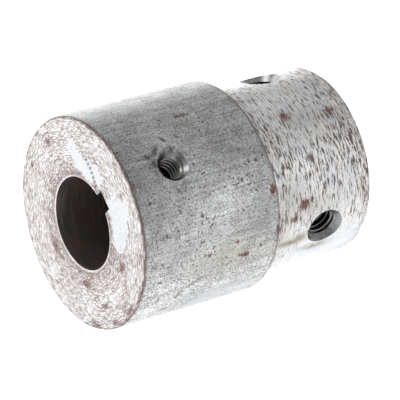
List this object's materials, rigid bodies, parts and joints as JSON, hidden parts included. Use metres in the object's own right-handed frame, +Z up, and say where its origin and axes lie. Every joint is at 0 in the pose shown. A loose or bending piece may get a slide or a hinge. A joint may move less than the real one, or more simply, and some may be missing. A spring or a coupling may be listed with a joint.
{
  "type": "rigid sleeve coupling",
  "caption": "Stepped steel sleeve with a keyed through bore and radial set screws, for joining two shafts end to end.",
  "frame": {"origin": "centre of the bore, midway along the sleeve, which is also the centre of the bounding box", "axes": "X along the bore with the large end at -X and the small end at +X; +Z up as the sleeve lies on its side; -Y is the front, towards which the keyway leans 46 degrees from straight up"},
  "size_m": [0.0666, 0.0508, 0.0508],
  "materials": {
    "sleeve_steel": "cold-drawn and turned steel, unplated, with specks of light rust",
    "screw_steel": "black oxide on alloy steel"
  },
  "bodies": {
    "sleeve": {"sleeve": "sleeve_steel"},
    "key_screw": {"key_screw": "screw_steel"},
    "clamp_screw_front": {"clamp_screw_front": "screw_steel"},
    "clamp_screw_under": {"clamp_screw_under": "screw_steel"},
    "clamp_screw_top": {"clamp_screw_top": "screw_steel"}
  },
  "joints": [
    {"name": "key_screw_travel", "type": "slide", "parent": "sleeve", "child": "key_screw", "axis": [0, -0.7193, 0.6947], "range_m": [0, 0.00889]},
    {"name": "clamp_screw_front_travel", "type": "slide", "parent": "sleeve", "child": "clamp_screw_front", "axis": [0, -0.9511, -0.309], "range_m": [0, 0.00705]},
    {"name": "clamp_screw_under_travel", "type": "slide", "parent": "sleeve", "child": "clamp_screw_under", "axis": [0, 0.7431, -0.6691], "range_m": [0, 0.00705]},
    {"name": "clamp_screw_top_travel", "type": "slide", "parent": "sleeve", "child": "clamp_screw_top", "axis": [0, 0.2079, 0.9781], "range_m": [0, 0.00705]}
  ]
}
